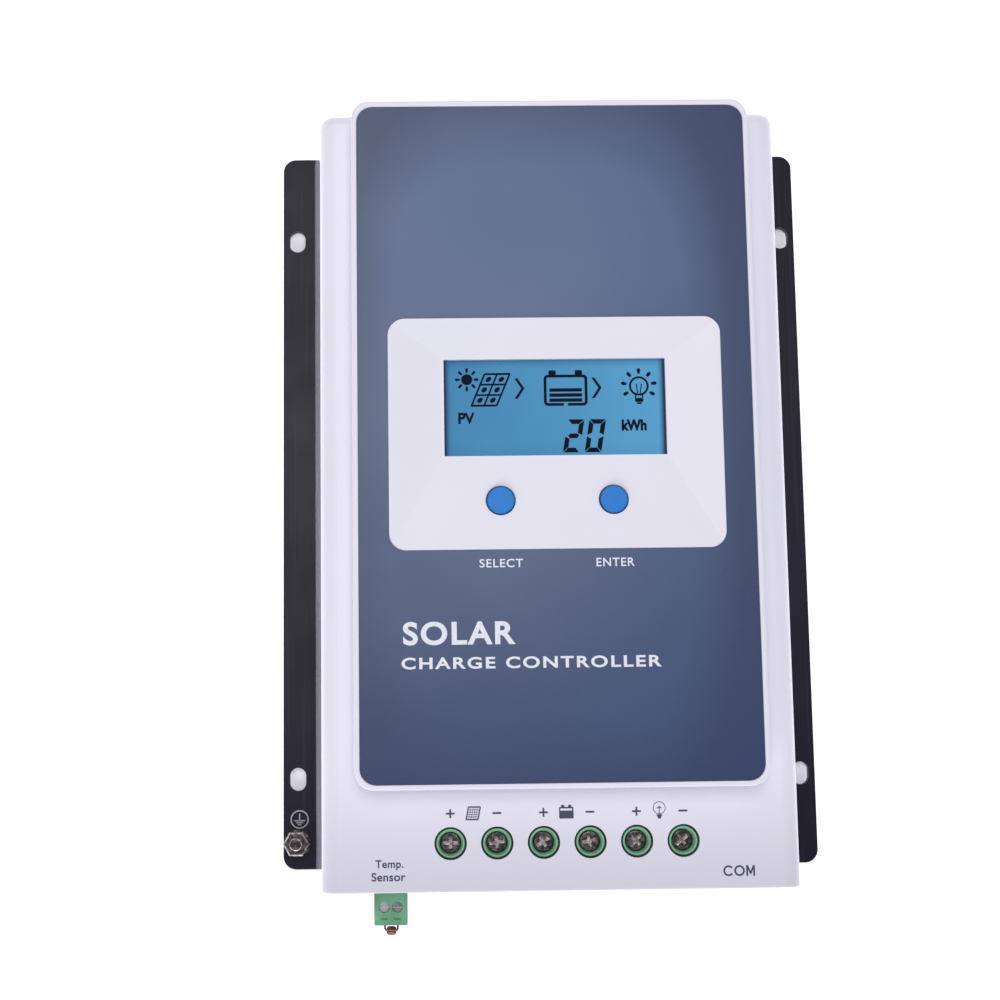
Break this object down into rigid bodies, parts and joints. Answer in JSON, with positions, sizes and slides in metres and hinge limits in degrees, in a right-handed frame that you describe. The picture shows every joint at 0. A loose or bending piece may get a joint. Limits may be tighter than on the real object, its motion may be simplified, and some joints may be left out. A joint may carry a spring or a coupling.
{
  "type": "solar charge controller",
  "caption": "Flat wall-mounted solar charge controller: black finned heat sink with side flanges, white cover, blue front label, backlit screen, push buttons and a row of wire terminals.",
  "frame": {"origin": "on the wall plane, on the middle heat sink fin, under the centre of the housing", "axes": "+X across the front to the right, +Y from the terminal end to the far end, +Z away from the wall"},
  "size_m": [0.164, 0.2419, 0.055],
  "materials": {
    "black_anodised": "black anodised, satin",
    "white_plastic": "glossy injection-moulded ABS, cool white",
    "label_blue": "glossy printed polycarbonate film, slate blue",
    "lcd_glass": "backlit liquid crystal glass",
    "lcd_backlight": "light guide plate",
    "black_plastic": "black glass-filled plastic",
    "circuit_board": "green solder mask on glass epoxy laminate",
    "steel": "zinc-plated steel",
    "dark_steel": "nickel-plated steel, darkened",
    "button_blue": "blue moulded plastic",
    "brass": "turned brass",
    "tinned_copper": "tin-plated copper alloy",
    "gold": "gold-flashed spring contacts",
    "terminal_green": "green polyamide",
    "plug_green": "green polyamide",
    "bead_brown": "epoxy-dipped sensing bead on tinned lead",
    "ferrite": "coated powdered-iron ring",
    "copper_wire": "enamelled copper",
    "capacitor_sleeve": "aluminium can in a dark printed sleeve",
    "black_epoxy": "moulded epoxy with tinned leads",
    "thermal_pad": "grey silicone insulating pad",
    "fuse_orange": "translucent moulded fuse body",
    "connector_white": "natural nylon",
    "cable_grey": "grey vinyl flat cable"
  },
  "bodies": {
    "root": {"battery_terminal_block": "terminal_green", "blade_fuses": "fuse_orange", "board_standoffs": "brass", "cable_headers": "connector_white", "com_jack": "black_plastic", "com_jack_contacts": "gold", "control_chip": "black_epoxy", "cover_screws": "steel", "current_shunt": "copper_wire", "display_board": "circuit_board", "display_board_screws": "steel", "flat_cable": "cable_grey", "front_cover": "white_plastic", "front_label": "label_blue", "ground_stud": "dark_steel", "heat_sink": "black_anodised", "inductor_core": "ferrite", "inductor_winding": "copper_wire", "input_capacitors": "capacitor_sleeve", "lcd_backlight": "lcd_backlight", "lcd_frame": "black_plastic", "lcd_glass": "lcd_glass", "load_terminal_block": "terminal_green", "main_board": "circuit_board", "main_board_screws": "steel", "mosfet_pads": "thermal_pad", "mosfet_screws": "steel", "mosfets": "black_epoxy", "output_capacitors": "capacitor_sleeve", "pv_terminal_block": "terminal_green", "sensor_socket": "terminal_green", "sensor_socket_pins": "tinned_copper", "tact_switches": "black_plastic", "terminal_current_bars": "tinned_copper"},
    "select_button": {"select_button": "button_blue", "select_plunger": "black_plastic"},
    "enter_button": {"enter_button": "button_blue", "enter_plunger": "black_plastic"},
    "pv_plus_screw": {"pv_plus_screw": "dark_steel"},
    "pv_plus_clamp_cage": {"pv_plus_clamp_cage": "steel"},
    "pv_minus_screw": {"pv_minus_screw": "dark_steel"},
    "pv_minus_clamp_cage": {"pv_minus_clamp_cage": "steel"},
    "battery_plus_screw": {"battery_plus_screw": "dark_steel"},
    "battery_plus_clamp_cage": {"battery_plus_clamp_cage": "steel"},
    "battery_minus_screw": {"battery_minus_screw": "dark_steel"},
    "battery_minus_clamp_cage": {"battery_minus_clamp_cage": "steel"},
    "load_plus_screw": {"load_plus_screw": "dark_steel"},
    "load_plus_clamp_cage": {"load_plus_clamp_cage": "steel"},
    "load_minus_screw": {"load_minus_screw": "dark_steel"},
    "load_minus_clamp_cage": {"load_minus_clamp_cage": "steel"},
    "sensor_plug": {"sensor_plug": "plug_green", "sensor_plug_contacts": "tinned_copper", "thermistor": "bead_brown"},
    "plug_left_screw": {"plug_left_screw": "steel"},
    "plug_left_clamp": {"plug_left_clamp": "steel"},
    "plug_right_screw": {"plug_right_screw": "steel"},
    "plug_right_clamp": {"plug_right_clamp": "steel"},
    "ground_washers": {"ground_washers": "dark_steel"},
    "ground_nut": {"ground_nut": "dark_steel"}
  },
  "joints": [
    {"name": "select_press", "type": "slide", "parent": "root", "child": "select_button", "axis": [0, 0, -1], "range_m": [0, 0.0005], "stiffness_N_per_m": 3000},
    {"name": "enter_press", "type": "slide", "parent": "root", "child": "enter_button", "axis": [0, 0, -1], "range_m": [0, 0.0005], "stiffness_N_per_m": 3000},
    {"name": "pv_plus_screw_turn", "type": "hinge", "parent": "root", "child": "pv_plus_screw", "pos_m": [-0.0314, -0.1005, 0.039], "axis": [0, 0, -1], "range_deg": [0, 2161]},
    {"name": "pv_plus_clamp_lift", "type": "slide", "parent": "root", "child": "pv_plus_clamp_cage", "axis": [0, 0, 1], "range_m": [0, 0.0042]},
    {"name": "pv_minus_screw_turn", "type": "hinge", "parent": "root", "child": "pv_minus_screw", "pos_m": [-0.0182, -0.1005, 0.039], "axis": [0, 0, -1], "range_deg": [0, 2161]},
    {"name": "pv_minus_clamp_lift", "type": "slide", "parent": "root", "child": "pv_minus_clamp_cage", "axis": [0, 0, 1], "range_m": [0, 0.0042]},
    {"name": "battery_plus_screw_turn", "type": "hinge", "parent": "root", "child": "battery_plus_screw", "pos_m": [-0.005, -0.1005, 0.039], "axis": [0, 0, -1], "range_deg": [0, 2161]},
    {"name": "battery_plus_clamp_lift", "type": "slide", "parent": "root", "child": "battery_plus_clamp_cage", "axis": [0, 0, 1], "range_m": [0, 0.0042]},
    {"name": "battery_minus_screw_turn", "type": "hinge", "parent": "root", "child": "battery_minus_screw", "pos_m": [0.0082, -0.1005, 0.039], "axis": [0, 0, -1], "range_deg": [0, 2161]},
    {"name": "battery_minus_clamp_lift", "type": "slide", "parent": "root", "child": "battery_minus_clamp_cage", "axis": [0, 0, 1], "range_m": [0, 0.0042]},
    {"name": "load_plus_screw_turn", "type": "hinge", "parent": "root", "child": "load_plus_screw", "pos_m": [0.0214, -0.1005, 0.039], "axis": [0, 0, -1], "range_deg": [0, 2161]},
    {"name": "load_plus_clamp_lift", "type": "slide", "parent": "root", "child": "load_plus_clamp_cage", "axis": [0, 0, 1], "range_m": [0, 0.0042]},
    {"name": "load_minus_screw_turn", "type": "hinge", "parent": "root", "child": "load_minus_screw", "pos_m": [0.0346, -0.1005, 0.039], "axis": [0, 0, -1], "range_deg": [0, 2161]},
    {"name": "load_minus_clamp_lift", "type": "slide", "parent": "root", "child": "load_minus_clamp_cage", "axis": [0, 0, 1], "range_m": [0, 0.0042]},
    {"name": "sensor_plug_pull", "type": "slide", "parent": "root", "child": "sensor_plug", "axis": [0, -1, 0], "range_m": [0, 0.009]},
    {"name": "plug_left_screw_turn", "type": "hinge", "parent": "sensor_plug", "child": "plug_left_screw", "pos_m": [-0.0506, -0.1192, 0.029], "axis": [0, 0, -1], "range_deg": [0, 1081]},
    {"name": "plug_left_clamp_lift", "type": "slide", "parent": "sensor_plug", "child": "plug_left_clamp", "axis": [0, 0, 1], "range_m": [0, 0.0012]},
    {"name": "plug_right_screw_turn", "type": "hinge", "parent": "sensor_plug", "child": "plug_right_screw", "pos_m": [-0.0468, -0.1192, 0.029], "axis": [0, 0, -1], "range_deg": [0, 1081]},
    {"name": "plug_right_clamp_lift", "type": "slide", "parent": "sensor_plug", "child": "plug_right_clamp", "axis": [0, 0, 1], "range_m": [0, 0.0012]},
    {"name": "ground_washers_lift", "type": "slide", "parent": "root", "child": "ground_washers", "axis": [0, 0, 1], "range_m": [0, 0.00175]},
    {"name": "ground_nut_turn", "type": "hinge", "parent": "ground_washers", "child": "ground_nut", "pos_m": [-0.0778, -0.1029, 0.004], "axis": [0, 0, 1], "range_deg": [0, 901]}
  ],
  "couplings": [
    {"joint": "pv_plus_screw_turn", "follows": "pv_plus_clamp_lift", "rad_per_m": 8976},
    {"joint": "pv_minus_screw_turn", "follows": "pv_minus_clamp_lift", "rad_per_m": 8976},
    {"joint": "battery_plus_screw_turn", "follows": "battery_plus_clamp_lift", "rad_per_m": 8976},
    {"joint": "battery_minus_screw_turn", "follows": "battery_minus_clamp_lift", "rad_per_m": 8976},
    {"joint": "load_plus_screw_turn", "follows": "load_plus_clamp_lift", "rad_per_m": 8976},
    {"joint": "load_minus_screw_turn", "follows": "load_minus_clamp_lift", "rad_per_m": 8976},
    {"joint": "plug_left_screw_turn", "follows": "plug_left_clamp_lift", "rad_per_m": 15708},
    {"joint": "plug_right_screw_turn", "follows": "plug_right_clamp_lift", "rad_per_m": 15708},
    {"joint": "ground_nut_turn", "follows": "ground_washers_lift", "rad_per_m": 8976}
  ]
}
